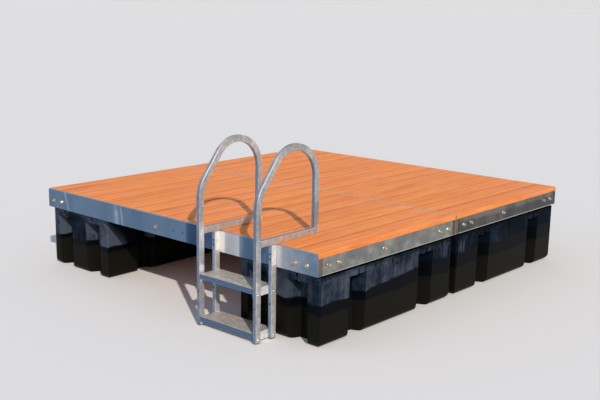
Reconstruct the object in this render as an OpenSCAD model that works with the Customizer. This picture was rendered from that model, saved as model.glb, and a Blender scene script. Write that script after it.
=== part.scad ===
// Floating swim raft: two framed sections side by side on four moulded floats, with a hooped boarding ladder.
// Millimetres, +Z up. The box of the whole part is centred on X and Y, and the float bottoms stand on z = 0.

/* [Raft] */
// Width of the raft along the ladder side
raft_w = 2438; // [2000:10:3000]
// Depth of one section, front to back
section_d = 1310; // [1100:10:1600]
// Boards across the width of each section
board_n = 16; // [12:1:20]
// Thickness of a deck board
board_t = 30; // [24:1:38]
// Open joint between two boards
board_gap = 3; // [2:0.5:8]

/* [Frame] */
// Height of the end plates, deck top to frame bottom
plate_h = 126; // [110:1:160]
// Thickness of the plates and rails
plate_t = 5; // [4:0.5:8]
// Width of the inward flanges
flange_w = 38; // [32:1:50]
// Width of the rounded head along the top of each end plate
head_w = 6; // [6:0.5:12]
// Radius of the two upper corners of an end plate
plate_corner = 15; // [6:1:24]
// Width of the bottom flange of an end plate between its corners
end_flange_w = 62; // [50:1:75]
// Distance of the cross joist from the front of its section
joist_y = 574; // [450:1:700]
// Distance of the centre stringer from the left side
stringer_x = 1144; // [900:1:1250]
// Length of each leg of a corner bracket
bracket_leg = 205; // [180:1:230]
// Radius of the small empty bolt holes
spare_hole_r = 5; // [3:0.5:7]
// Distance of the middle of the two empty holes in the front plate from the left side
spare_x = 1342; // [600:1:1500]
// Spacing of those two holes
spare_gap = 80; // [50:1:110]
// Depth of the empty holes below the deck
spare_depth = 74; // [50:1:85]
// Distance of the empty hole in each front side rail from the front
rail_hole_y = 714; // [650:1:1000]

/* [Floats] */
// Width of a float
float_w = 610; // [520:1:660]
// Height of a float, foot to crown
float_h = 406; // [360:1:450]
// Inset of a float from the raft side
float_side = 1; // [1:1:30]
// Inset of a float from the front of its section
float_end = 27; // [10:1:45]
// Inset of a float from the back of its section
float_tail = 19; // [12:1:45]
// Shift of the two rear floats to the back
rear_shift = 6; // [0:1:8]
// Width of the upright recesses
recess_w = 154; // [130:1:170]
// Depth of the upright recesses
recess_d = 84; // [70:1:120]
// Amount each side wall of a recess closes in towards its back
recess_draft = 34; // [6:1:40]
// Half the spacing of the two recesses in a float end
end_recess = 152; // [130:1:165]
// Half the spacing of the two recesses in a float side
side_recess = 325; // [250:1:350]
// Shift of the end recesses to the left of the middle of the float
end_shift = 13; // [0:1:20]
// Shift of the side recesses to the back of the middle of the float
side_shift = 18; // [0:1:40]
// Height of the rim around the float top
rim_h = 40; // [30:1:50]
// Depth of the mounting slot through the rim
slot_d = 62; // [40:1:80]
// Width of the mounting slot
slot_w = 13; // [9:1:18]

/* [Ladder] */
// Tube size across the ladder
tube_w = 25; // [20:1:32]
// Tube size front to back
tube_d = 38; // [32:1:45]
// Clear width between the two ladder sides
ladder_clear = 418; // [380:1:480]
// Distance of the ladder's right face from the left side of the raft
ladder_x = 2147; // [1500:1:2250]
// Reach of the ladder out from the front plate
ladder_out = 157; // [140:1:190]
// Reach of the hoops over the deck
hoop_back = 344; // [300:1:420]
// Height of the hoops above the deck
hoop_h = 531; // [480:1:600]
// Outer radius of the hoop's top bend
hoop_r = 200; // [170:1:215]
// Outer radius of the hoop's front bend
front_r = 198; // [150:1:220]
// Lean of the hoop's sloping part from level, in degrees
hoop_lean = 52.2; // [46:0.1:60]
// Depth below the deck of the joint in the ladder legs
leg_joint = 130; // [110:1:160]
// Depth of the upper tread below the deck
tread_1 = 226; // [200:1:250]
// Step down from one tread to the next
tread_step = 250; // [220:1:255]
// Height of a tread's front lip
lip_h = 27; // [20:1:35]
// Height of a tread's end flanges
ear_h = 47; // [36:1:47]
// Thickness of the tread metal
tread_t = 3; // [2:0.5:5]

/* [Hidden] */
$fn = 32;
deck_z = float_h + plate_h;
front_y = -(2 * section_d - ladder_out) / 2;
left_x = -raft_w / 2;
board_w = (raft_w - (board_n - 1) * board_gap) / board_n;
board_end = head_w + 1;
ledge_w = 30;
ledge_t = 4;
head_h = 12;
head_r = 5;
rail_end = flange_w + 2;
frame_z = deck_z - plate_h;
web_top = deck_z - board_t - plate_t;
web_foot = frame_z + plate_t;
float_d = section_d - float_end - float_tail;
crown_h = 12;
crown_in = 22;
corner_r = 34;
foot_r = 36;
wall_in = 4;
rim_top = float_h - crown_h;
rim_foot = rim_top - rim_h;
tube_r = 4;
tuck = 1.5;
rail_x1 = left_x + ladder_x;
rail_x0 = rail_x1 - tube_w - ladder_clear - tube_w;
joint_z = deck_z - leg_joint;
leg_foot = 8;
tread_back = 5;
tread_d = ladder_out - tread_back;

// Points of an arc in the plane
function arc_points(cx, cy, r, a0, a1, n) =
    [for (i = [0:n]) [cx + r * cos(a0 + (a1 - a0) * i / n), cy + r * sin(a0 + (a1 - a0) * i / n)]];

// Rounded rectangle about the middle
function round_box(w, h, r, n = 3) = concat(
    arc_points(w / 2 - r, h / 2 - r, r, 0, 90, n),
    arc_points(-w / 2 + r, h / 2 - r, r, 90, 180, n),
    arc_points(-w / 2 + r, -h / 2 + r, r, 180, 270, n),
    arc_points(w / 2 - r, -h / 2 + r, r, 270, 360, n));

// Turns local x, y, z into Y, Z, X, so that a profile drawn in x and y stands up and runs along X
module along_x() {
    rotate([90, 0, 90]) children();
}

// Turns local x, y, z into X, Z, -Y, so that a profile stands up facing the front
module along_y(len) {
    translate([0, len, 0]) rotate([90, 0, 0]) linear_extrude(len) children();
}

// Places a section: the front one at 0, the rear one behind it
module section(i) {
    translate([0, front_y + i * section_d, 0]) children();
}

// Boards of one section
module boards() {
    for (i = [0:board_n - 1])
        translate([left_x + i * (board_w + board_gap), board_end, deck_z - board_t])
            cube([board_w, section_d - 2 * board_end, board_t]);
}

// End plate with its head, ledge and bottom flange, round at its two upper corners.
// Between the side rails the flange is wider, and it is notched back at both ends to clear them.
module end_plate() {
    r = plate_corner;
    notch = flange_w + 2;
    intersection() {
        translate([left_x, 0, 0]) along_x() linear_extrude(raft_w) polygon(concat(
            [[0, frame_z], [end_flange_w, frame_z], [end_flange_w, web_foot], [plate_t, web_foot],
             [plate_t, deck_z - board_t - ledge_t], [ledge_w, deck_z - board_t - ledge_t],
             [ledge_w, deck_z - board_t], [plate_t, deck_z - board_t],
             [plate_t, deck_z - head_h], [head_w, deck_z - head_h], [head_w, deck_z]],
            arc_points(head_r, deck_z - head_r, head_r, 90, 180, 5)));
        union() {
            translate([0, -1, 0]) along_y(flange_w + 1) polygon(concat(
                [[left_x, frame_z - 1], [-left_x, frame_z - 1]],
                arc_points(-left_x - r, deck_z - r, r, 0, 90, 8), arc_points(left_x + r, deck_z - r, r, 90, 180, 8)));
            translate([left_x + notch, flange_w - 1, frame_z - 1]) cube([raft_w - 2 * notch, end_flange_w, plate_h]);
        }
    }
}

// The same plate turned round for the back of a section
module back_plate() {
    translate([0, section_d, 0]) mirror([0, 1, 0]) end_plate();
}

// Channel section: web against x = 0, flanges towards +x
function channel(h0, h1) =
    [[0, h0], [flange_w, h0], [flange_w, h0 + plate_t], [plate_t, h0 + plate_t],
     [plate_t, h1 - plate_t], [flange_w, h1 - plate_t], [flange_w, h1], [0, h1]];

// Side rail on the left; the right one is its mirror image
module side_rail() {
    translate([left_x, rail_end, 0]) along_y(section_d - 2 * rail_end) polygon(channel(frame_z, deck_z - board_t));
}

// Side rail of the front section, with its empty bolt hole
module drilled_rail() {
    difference() {
        side_rail();
        translate([left_x - 1, rail_hole_y, deck_z - spare_depth]) rotate([0, 90, 0])
            cylinder(r = spare_hole_r, h = plate_t + 2);
    }
}

// Cross joist with its notched ends and end clips
module cross_joist() {
    clear_x = flange_w + 1;
    translate([left_x + clear_x, joist_y, 0]) along_x() linear_extrude(raft_w - 2 * clear_x)
        polygon(channel(frame_z, deck_z - board_t));
    translate([left_x + plate_t, joist_y, web_foot + 1])
        cube([raft_w - 2 * plate_t, plate_t, web_top - web_foot - 2]);
    for (m = [0, 1]) mirror([m, 0, 0])
        translate([left_x + plate_t, joist_y, web_foot + 8]) cube([plate_t, flange_w, web_top - web_foot - 16]);
}

// Centre stringer in front of the joist
module front_stringer() {
    x0 = left_x + stringer_x - plate_t / 2;
    y0 = end_flange_w + 1;
    translate([x0, y0, 0]) along_y(joist_y - y0) polygon(channel(frame_z, deck_z - board_t));
    translate([x0, plate_t, web_foot + 1]) cube([plate_t, joist_y - plate_t, web_top - web_foot - 2]);
}

// Centre stringer behind the joist
module back_stringer() {
    x0 = left_x + stringer_x - plate_t / 2;
    y0 = joist_y + flange_w + 1;
    y1 = section_d - end_flange_w - 1;
    translate([x0, y0, 0]) along_y(y1 - y0) polygon(channel(frame_z, deck_z - board_t));
    translate([x0, joist_y + plate_t, web_foot + 1])
        cube([plate_t, section_d - joist_y - 2 * plate_t, web_top - web_foot - 2]);
}

// Corner bracket of the front left corner: its side leg steps out to lie behind the rail
module corner_bracket() {
    a = plate_t + 8;
    translate([left_x, 0, web_foot]) linear_extrude(web_top - web_foot - 1) polygon([
        [a, plate_t], [bracket_leg, plate_t], [bracket_leg, plate_t + 6], [a + 6, plate_t + 6],
        [a + 6, rail_end + 3], [plate_t + 6, rail_end + 11], [plate_t + 6, bracket_leg],
        [plate_t, bracket_leg], [plate_t, rail_end + 9], [a, rail_end + 1]]);
}

// Four brackets of one section
module corner_brackets() {
    for (m = [0, 1], k = [0, 1])
        mirror([m, 0, 0]) translate([0, k * section_d, 0]) mirror([0, k, 0]) corner_bracket();
}

// Plan of a recess, open towards -y, with its mouth on y = 0
module recess_plan(extra) {
    half = recess_w / 2;
    back = half - recess_draft;
    polygon([
        [-half - 1, -extra], [half + 1, -extra], [half, 0], [back, recess_d - 6], [back - 9, recess_d],
        [-back + 9, recess_d], [-back, recess_d - 6], [-half, 0]]);
}

// Upright recess and the slot in the rim above it
module recess() {
    translate([0, 0, -10]) linear_extrude(rim_foot + 10) recess_plan(20);
    translate([-slot_w / 2, -20, rim_foot - 1]) cube([slot_w, 20 + slot_d - slot_w / 2, float_h]);
    translate([0, slot_d - slot_w / 2, rim_foot - 1]) cylinder(d = slot_w, h = float_h, $fn = 24);
}

// Profile of the float wall with its rounded foot, as wide as w
module wall_profile(w) {
    polygon(concat(
        [[w / 2 - wall_in, rim_foot + 5]],
        [[-w / 2 + wall_in, rim_foot + 5]],
        arc_points(-w / 2 + wall_in + 6 + foot_r, foot_r, foot_r, 180, 270, 5),
        arc_points(w / 2 - wall_in - 6 - foot_r, foot_r, foot_r, 270, 360, 5)));
}

// One float about its own middle
module float_body() {
    difference() {
        union() {
            intersection() {
                linear_extrude(rim_foot + 4) polygon(round_box(float_w, float_d, corner_r, 5));
                along_x() translate([0, 0, -float_w]) linear_extrude(2 * float_w) wall_profile(float_d);
                translate([0, -float_d, 0]) along_y(2 * float_d) wall_profile(float_w);
            }
            translate([0, 0, rim_foot]) linear_extrude(rim_h) polygon(round_box(float_w, float_d, corner_r, 5));
            translate([0, 0, rim_top]) linear_extrude(crown_h)
                polygon(round_box(float_w - 2 * crown_in, float_d - 2 * crown_in, corner_r - 14, 4));
        }
        for (k = [0, 1], s = [-1, 1])
            mirror([0, k, 0]) translate([s * end_recess - end_shift, -float_d / 2, 0]) recess();
        for (k = [0, 1], s = [-1, 1])
            mirror([k, 0, 0]) translate([float_w / 2, s * side_recess + side_shift, 0]) rotate([0, 0, 90]) recess();
        for (k = [0, 1]) mirror([k, 0, 0])
            translate([float_w / 2 - 7, -8, rim_foot - 1]) cube([20, 16, rim_h + crown_h + 2]);
    }
}

// Puts a float under a section: side -1 left, 1 right
module float_at(side, shift) {
    translate([side * (raft_w / 2 - float_side - float_w / 2), float_end + float_d / 2 + shift, 0]) float_body();
}

// Straight tube up from the point (y, z), len long, turned by tilt towards the deck.
// It runs on into a bend by the length tuck at its foot and its head.
module tube_run(y, z, len, tilt, foot, head) {
    translate([y, z, 0]) rotate([0, 0, -tilt]) translate([0, -foot, 0]) rotate([-90, 0, 0])
        linear_extrude(len + foot + head) polygon(round_box(tube_d, tube_w, tube_r));
}

// Bent tube around (y, z), outer radius r, from angle a0 on by sweep, a hair fuller than the straight tube
module tube_bend(y, z, r, a0, sweep) {
    translate([y, z, 0]) rotate([0, 0, a0]) rotate_extrude(angle = sweep)
        translate([r - tube_d / 2, 0, 0]) polygon(round_box(tube_d + 0.04, tube_w + 0.04, tube_r));
}

// Hoop: front leg, front bend, lean, top bend and rear leg, in one tube
module hoop() {
    turn = 90 - hoop_lean;
    top_y = hoop_back - hoop_r;
    top_z = hoop_h - hoop_r;
    tan_y = top_y + hoop_r * cos(90 + hoop_lean);
    tan_z = top_z + hoop_r * sin(90 + hoop_lean);
    run = (tan_y + ladder_out) / cos(hoop_lean);
    cut = front_r * tan(turn / 2);
    bend_z = tan_z - run * sin(hoop_lean) - cut;
    bend_y = -ladder_out + front_r;
    half = tube_d / 2;
    translate([0, front_y, deck_z]) along_x() union() {
        tube_run(-ladder_out + half, -leg_joint, bend_z + leg_joint, 0, 0, tuck);
        tube_bend(bend_y, bend_z, front_r, 180 - turn, turn);
        tube_run(bend_y + (front_r - half) * cos(180 - turn), bend_z + (front_r - half) * sin(180 - turn),
            run - cut, turn, tuck, tuck);
        tube_bend(top_y, top_z, hoop_r, 0, 90 + hoop_lean);
        tube_run(hoop_back - half, 0, top_z, 0, 0, tuck);
    }
}

// Rail lying on the deck between the two legs of a hoop
module deck_rail() {
    y0 = -ladder_out + tube_d;
    translate([0, front_y + y0, deck_z + tube_d / 2]) along_y(hoop_back - tube_d - y0)
        polygon(round_box(tube_w, tube_d, tube_r));
}

// Upright leg from z0 to z1 at y
module leg(y, z0, z1) {
    translate([0, front_y + y, z0]) linear_extrude(z1 - z0) polygon(round_box(tube_w, tube_d, tube_r));
}

// Tread pan: top plate, front and back lips and the two ears that bolt to the legs
module tread(depth) {
    x0 = rail_x0 + tube_w;
    translate([x0, front_y - ladder_out, deck_z - depth]) {
        translate([0, 0, -tread_t]) cube([ladder_clear, tread_d, tread_t]);
        translate([0, 0, -lip_h]) cube([ladder_clear, tread_t, lip_h]);
        translate([0, tread_d - tread_t, -lip_h]) cube([ladder_clear, tread_t, lip_h]);
        translate([0, 0, -ear_h]) cube([tread_t, tread_d, ear_h]);
        translate([ladder_clear - tread_t, 0, -ear_h]) cube([tread_t, tread_d, ear_h]);
    }
}

wood = [0.86, 0.52, 0.32];
alu = [0.72, 0.74, 0.75];
black = [0.1, 0.11, 0.12];

// Middle of each ladder side
module left_side() { translate([rail_x0 + tube_w / 2, 0, 0]) children(); }
module right_side() { translate([rail_x1 - tube_w / 2, 0, 0]) children(); }

module front_boards() { color(wood) section(0) boards(); }
module rear_boards() { color(wood) section(1) boards(); }
module front_plate() {
    color(alu) section(0) difference() {
        end_plate();
        for (s = [-1, 1]) translate([left_x + spare_x + s * spare_gap / 2, plate_t + 1, deck_z - spare_depth])
            rotate([90, 0, 0]) cylinder(r = spare_hole_r, h = plate_t + 2);
    }
}
module front_seam_plate() { color(alu) section(0) back_plate(); }
module rear_seam_plate() { color(alu) section(1) end_plate(); }
module rear_plate() { color(alu) section(1) back_plate(); }
module front_left_rail() { color(alu) section(0) drilled_rail(); }
module front_right_rail() { color(alu) section(0) mirror([1, 0, 0]) drilled_rail(); }
module rear_left_rail() { color(alu) section(1) side_rail(); }
module rear_right_rail() { color(alu) section(1) mirror([1, 0, 0]) side_rail(); }
module front_cross_joist() { color(alu) section(0) cross_joist(); }
module rear_cross_joist() { color(alu) section(1) cross_joist(); }
module front_section_stringer_front() { color(alu) section(0) front_stringer(); }
module front_section_stringer_back() { color(alu) section(0) back_stringer(); }
module rear_section_stringer_front() { color(alu) section(1) front_stringer(); }
module rear_section_stringer_back() { color(alu) section(1) back_stringer(); }
module front_corner_brackets() { color(alu) section(0) corner_brackets(); }
module rear_corner_brackets() { color(alu) section(1) corner_brackets(); }
module front_left_float() { color(black) section(0) float_at(-1, 0); }
module front_right_float() { color(black) section(0) float_at(1, 0); }
module rear_left_float() { color(black) section(1) float_at(-1, rear_shift); }
module rear_right_float() { color(black) section(1) float_at(1, rear_shift); }
module left_hoop() { color(alu) left_side() hoop(); }
module right_hoop() { color(alu) right_side() hoop(); }
module left_deck_rail() { color(alu) left_side() deck_rail(); }
module right_deck_rail() { color(alu) right_side() deck_rail(); }
module left_back_leg() { color(alu) left_side() leg(-tube_d / 2, joint_z, deck_z); }
module right_back_leg() { color(alu) right_side() leg(-tube_d / 2, joint_z, deck_z); }
module left_front_foot() { color(alu) left_side() leg(-ladder_out + tube_d / 2, leg_foot, joint_z); }
module right_front_foot() { color(alu) right_side() leg(-ladder_out + tube_d / 2, leg_foot, joint_z); }
module left_back_foot() { color(alu) left_side() leg(-tube_d / 2, leg_foot, joint_z); }
module right_back_foot() { color(alu) right_side() leg(-tube_d / 2, leg_foot, joint_z); }
module upper_tread() { color(alu) tread(tread_1); }
module lower_tread() { color(alu) tread(tread_1 + tread_step); }

front_boards();
rear_boards();
front_plate();
front_seam_plate();
rear_seam_plate();
rear_plate();
front_left_rail();
front_right_rail();
rear_left_rail();
rear_right_rail();
front_cross_joist();
rear_cross_joist();
front_section_stringer_front();
front_section_stringer_back();
rear_section_stringer_front();
rear_section_stringer_back();
front_corner_brackets();
rear_corner_brackets();
front_left_float();
front_right_float();
rear_left_float();
rear_right_float();
left_hoop();
right_hoop();
left_deck_rail();
right_deck_rail();
left_back_leg();
right_back_leg();
left_front_foot();
right_front_foot();
left_back_foot();
right_back_foot();
upper_tread();
lower_tread();
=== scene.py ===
# Swim raft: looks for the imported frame. Metres, +Z up, the ladder on the -Y side.
import math

import bpy
import numpy as np
from mathutils import Matrix, Vector


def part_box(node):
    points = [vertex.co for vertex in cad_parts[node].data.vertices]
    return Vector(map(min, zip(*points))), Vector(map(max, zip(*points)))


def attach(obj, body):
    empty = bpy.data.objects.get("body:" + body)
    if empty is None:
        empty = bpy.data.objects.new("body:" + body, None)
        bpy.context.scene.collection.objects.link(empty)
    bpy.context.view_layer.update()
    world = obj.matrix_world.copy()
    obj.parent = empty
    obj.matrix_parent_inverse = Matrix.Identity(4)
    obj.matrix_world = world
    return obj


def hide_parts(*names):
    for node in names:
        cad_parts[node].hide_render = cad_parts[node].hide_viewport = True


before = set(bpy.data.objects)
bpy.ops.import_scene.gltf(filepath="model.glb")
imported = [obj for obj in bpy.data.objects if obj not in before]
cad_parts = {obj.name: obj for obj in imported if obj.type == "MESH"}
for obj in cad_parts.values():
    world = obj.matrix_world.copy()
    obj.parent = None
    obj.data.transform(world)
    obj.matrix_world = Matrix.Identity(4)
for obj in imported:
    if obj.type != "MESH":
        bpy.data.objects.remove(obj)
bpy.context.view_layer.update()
rng = np.random.default_rng(7)
mm = 0.001


# small helpers

def hexToLinear(code):
    # sRGB hex to linear: c/12.92 below 0.04045, else ((c+0.055)/1.055)^2.4
    c = np.array([int(code[i:i + 2], 16) for i in (1, 3, 5)]) / 255
    lin = np.where(c <= 0.04045, c / 12.92, ((c + 0.055) / 1.055) ** 2.4)
    return (*map(float, lin), 1.0)


def perSize(*sizes):
    # noise scale from the size of one blotch or line in metres: 1 / size
    scales = [1 / size for size in sizes]
    return scales[0] if len(scales) == 1 else tuple(scales)


def addNode(tree, kind, settings=None, links=None):
    # settings: properties by name, or input values by name or number
    # links: the socket that feeds each input, or a node, of which the active output is taken
    node = tree.nodes.new(kind)
    for name, value in (settings or {}).items():
        if isinstance(name, int) or name in node.inputs:
            node.inputs[name].default_value = value
        else:
            setattr(node, name, value)
    for name, source in (links or {}).items():
        if isinstance(source, bpy.types.Node):
            source = next(socket for socket in source.outputs if socket.enabled)
        tree.links.new(source, node.inputs[name])
    return node


def setStops(node, stops, interpolation="LINEAR"):
    # stops of a ramp: (place, hex colour or grey level) pairs; a level may lie over 1
    ramp = node.color_ramp
    ramp.interpolation = interpolation
    while len(ramp.elements) < len(stops):
        ramp.elements.new(0.5)
    for element, (place, value) in zip(ramp.elements, stops):
        element.position = place
        element.color = hexToLinear(value) if isinstance(value, str) else (value, value, value, 1.0)
    return node


def newMaterial(name):
    mat = bpy.data.materials.new(name)
    mat.use_nodes = True
    mat.node_tree.nodes.clear()
    return mat, mat.node_tree


def finishMaterial(tree, shader):
    addNode(tree, "ShaderNodeOutputMaterial", {}, {"Surface": shader})


def makeMesh(name, points, faces, mat, smooth=30):
    mesh = bpy.data.meshes.new(name)
    mesh.from_pydata(np.asarray(points).tolist(), [], faces)
    mesh.validate()
    mesh.update()
    piece = bpy.data.objects.new(name, mesh)
    bpy.context.scene.collection.objects.link(piece)
    mesh.materials.append(mat)
    if smooth:
        mesh.shade_smooth()
        mesh.set_sharp_from_angle(angle=math.radians(smooth))
    return piece


def gridFaces(rows, cols):
    # quads of a rows x cols grid, wrapped round along the columns
    r, c = np.meshgrid(np.arange(rows - 1), np.arange(cols), indexing="ij")
    n = (c + 1) % cols
    return np.stack([r * cols + c, r * cols + n, (r + 1) * cols + n, (r + 1) * cols + c], -1).reshape(-1, 4)


def repeatShape(points, faces, places, turns):
    # every copy k is places[k] + turns[k] @ point; faces are shifted by the number of points
    points, places, turns = np.asarray(points), np.asarray(places), np.asarray(turns)
    moved = np.einsum("kij,pj->kpi", turns, points) + places[:, None, :]
    out = []
    for k in range(len(places)):
        out += [tuple(int(i) + k * len(points) for i in f) for f in faces]
    return moved.reshape(-1, 3), out


def facing(normals, spins):
    # turn matrices that carry +Z to each normal, spun about it
    out = []
    for normal, spin in zip(normals, spins):
        q = Vector((0, 0, 1)).rotation_difference(Vector(normal)).to_matrix()
        out.append(np.array(q @ Matrix.Rotation(spin, 3, "Z")))
    return np.array(out)


def turnedShape(rings):
    # ring j has radius rings[j][0], height rings[j][1], and goes from round (0) to six-sided (1) by
    # rings[j][2]; hexagon: r / cos(angle within its sixth - 30 deg); a middle point closes both ends
    around, flats = 24, 6
    a = np.arange(around) * 2 * np.pi / around
    six = math.cos(math.pi / flats) / np.cos((a % (2 * math.pi / flats)) - math.pi / flats)
    rings = np.array(rings)
    r = rings[:, 0, None] * (1 + rings[:, 2, None] * (six[None] / six.max() - 1))
    pts = np.stack([r * np.cos(a), r * np.sin(a), np.repeat(rings[:, 1, None], around, 1)], -1).reshape(-1, 3)
    faces = [tuple(f) for f in gridFaces(len(rings), around)]
    n = len(pts)
    pts = np.vstack([pts, [[0, 0, rings[0, 1]], [0, 0, rings[-1, 1]]]])
    last = (len(rings) - 1) * around
    faces += [(n, (i + 1) % around, i) for i in range(around)]
    faces += [(n + 1, last + i, last + (i + 1) % around) for i in range(around)]
    return pts, faces


# where things are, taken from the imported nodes

def corners(node):
    low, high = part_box(node)
    return np.array(low), np.array(high)


frontLow, frontHigh = corners("front_plate")
leftX, frontY, frameFoot = map(float, frontLow)
rightX, deckTop = float(frontHigh[0]), float(frontHigh[2])
deckWidth = rightX - leftX
seamY = float(corners("front_seam_plate")[1][1])
rearY = float(corners("rear_plate")[1][1])
sectionDepth = seamY - frontY
print("frame: deck top", round(deckTop, 4), "front", round(frontY, 4))


# materials

def cedarBoard():
    # stained softwood decking: straight grain along each board, a tone of its own for each board, matte with
    # a little sheen, and darker arrises where the stain gathers beside the open joints
    look = {"pitch": 152.5625 * mm, "board": 149.5625 * mm, "pale": "#FFB25E", "mid": "#FC964B",
            "deep": "#E0783F", "faded": "#F7A27C", "line": "#B4532A", "joint": "#9C4724",
            "jointWidth": 9 * mm, "outerEdge": (3 * mm, 1 * mm), "outerTone": 0.84, "sectionStep": 29.0,
            "grain": (10.5 * mm, 417 * mm, 25 * mm), "grainShift": 7.31, "broadWeight": 0.55,
            "broadGrain": {"Scale": 0.32, "Detail": 3.0, "Roughness": 0.55},
            "fineGrain": {"Scale": 1.5, "Detail": 5.0, "Roughness": 0.62, "Distortion": 0.25},
            "grainSpan": {"From Min": 0.5, "From Max": 1.05},
            "patches": {"Scale": perSize(294 * mm), "Detail": 4.0, "Roughness": 0.65},
            "patchShare": {"From Min": 0.48, "From Max": 0.68, "To Max": 0.32},
            "hearts": {"Scale": 0.5, "Detail": 1.0},
            "heartShare": {"From Min": 0.55, "From Max": 0.72, "To Max": 0.42},
            "lines": {"Scale": 2.6, "Detail": 2.0, "Roughness": 0.5},
            "lineShare": {"From Min": 0.58, "From Max": 0.72, "To Max": 0.5},
            "toneRange": {"To Min": 0.94, "To Max": 1.04}, "jointRange": {"To Min": 0.25, "To Max": 0.8},
            "bump": {"Strength": 0.35, "Distance": 0.6 * mm},
            "gloss": {"Roughness": 0.6, "Specular IOR Level": 0.3}}
    mat, tree = newMaterial("stainedCedarBoard")
    place = addNode(tree, "ShaderNodeTexCoord").outputs["Object"]
    xyz = addNode(tree, "ShaderNodeSeparateXYZ", {}, {0: place}).outputs
    # number of the board from the left, sectionStep more behind the seam, and a tone of its own for each
    fromLeft = addNode(tree, "ShaderNodeMath", {"operation": "ADD", 1: -leftX}, {0: xyz["X"]})
    inPitch = addNode(tree, "ShaderNodeMath", {"operation": "DIVIDE", 1: look["pitch"]}, {0: fromLeft})
    inRow = addNode(tree, "ShaderNodeMath", {"operation": "FLOOR"}, {0: inPitch})
    behind = addNode(tree, "ShaderNodeMath", {"operation": "GREATER_THAN", 1: seamY}, {0: xyz["Y"]})
    boardNo = addNode(tree, "ShaderNodeMath", {"operation": "MULTIPLY_ADD", 1: look["sectionStep"]},
                      {0: behind, 2: inRow})
    tone = addNode(tree, "ShaderNodeTexWhiteNoise", {"noise_dimensions": "1D"}, {"W": boardNo})
    # grain: noise drawn out along Y, shifted sideways and along for every board
    shift = addNode(tree, "ShaderNodeMath", {"operation": "MULTIPLY", 1: look["grainShift"]}, {0: boardNo})
    acrossScale, alongScale, downScale = perSize(*look["grain"])
    drawn = {"Z": addNode(tree, "ShaderNodeMath", {"operation": "MULTIPLY", 1: downScale}, {0: xyz["Z"]})}
    for axis, scale in (("X", acrossScale), ("Y", alongScale)):
        drawn[axis] = addNode(tree, "ShaderNodeMath", {"operation": "MULTIPLY_ADD", 1: scale},
                              {0: xyz[axis], 2: shift})
    grainAt = addNode(tree, "ShaderNodeCombineXYZ", {}, drawn)
    broad = addNode(tree, "ShaderNodeTexNoise", look["broadGrain"], {"Vector": grainAt})
    fine = addNode(tree, "ShaderNodeTexNoise", look["fineGrain"], {"Vector": grainAt})
    both = addNode(tree, "ShaderNodeMath", {"operation": "MULTIPLY_ADD", 1: look["broadWeight"]},
                   {0: broad, 2: fine})
    spread = addNode(tree, "ShaderNodeMapRange", look["grainSpan"], {"Value": both})
    colour = setStops(addNode(tree, "ShaderNodeValToRGB", {}, {"Fac": spread}),
                      [(0.0, look["deep"]), (0.5, look["mid"]), (1.0, look["pale"])])
    # sun-bleached, pinker patches over several boards, a band or two of red heartwood in each, and lines
    for noise, at, share, tint in (("patches", place, "patchShare", "faded"),
                                   ("hearts", grainAt, "heartShare", "line"),
                                   ("lines", grainAt, "lineShare", "line")):
        noise = addNode(tree, "ShaderNodeTexNoise", look[noise], {"Vector": at})
        share = addNode(tree, "ShaderNodeMapRange", look[share], {"Value": noise})
        colour = addNode(tree, "ShaderNodeMix", {"data_type": "RGBA", 7: hexToLinear(look[tint])},
                         {0: share, 6: colour})
    value = addNode(tree, "ShaderNodeMapRange", look["toneRange"], {"Value": tone})
    colour = addNode(tree, "ShaderNodeHueSaturation", {}, {"Color": colour, "Value": value})
    # distance from the middle of the board, in pitches: the joint colour comes in over the last millimetres,
    # more on some boards than on others, and stays off the two outer faces of the deck
    half = look["board"] / look["pitch"] / 2
    inBoard = addNode(tree, "ShaderNodeMath", {"operation": "FRACT"}, {0: inPitch})
    offMiddle = addNode(tree, "ShaderNodeMath", {"operation": "SUBTRACT", 1: half}, {0: inBoard})
    offMiddle = addNode(tree, "ShaderNodeMath", {"operation": "ABSOLUTE"}, {0: offMiddle})
    edge = addNode(tree, "ShaderNodeMapRange", {"From Min": half - look["jointWidth"] / look["pitch"],
                   "From Max": half}, {"Value": offMiddle})
    strength = addNode(tree, "ShaderNodeMapRange", look["jointRange"], {"Value": tone})
    fromMiddle = addNode(tree, "ShaderNodeMath", {"operation": "ABSOLUTE"}, {0: xyz["X"]})
    inner = addNode(tree, "ShaderNodeMath", {"operation": "LESS_THAN", 1: rightX - look["jointWidth"]},
                    {0: fromMiddle})
    edge = addNode(tree, "ShaderNodeMath", {"operation": "MULTIPLY"}, {0: edge, 1: strength})
    edge = addNode(tree, "ShaderNodeMath", {"operation": "MULTIPLY"}, {0: edge, 1: inner})
    colour = addNode(tree, "ShaderNodeMix", {"data_type": "RGBA", 7: hexToLinear(look["joint"])},
                     {0: edge, 6: colour})
    # the two outer faces of the deck are darker, by outerTone
    start, end = look["outerEdge"]
    outer = addNode(tree, "ShaderNodeMapRange", {"From Min": rightX - start, "From Max": rightX - end,
                    "To Min": 1.0, "To Max": look["outerTone"]}, {"Value": fromMiddle})
    colour = addNode(tree, "ShaderNodeMix", {"data_type": "RGBA", "blend_type": "MULTIPLY", 0: 1.0},
                     {6: colour, 7: outer})
    bump = addNode(tree, "ShaderNodeBump", look["bump"], {"Height": fine})
    finishMaterial(tree, addNode(tree, "ShaderNodeBsdfPrincipled", look["gloss"],
                                 {"Base Color": colour, "Normal": bump}))
    return mat


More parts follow.
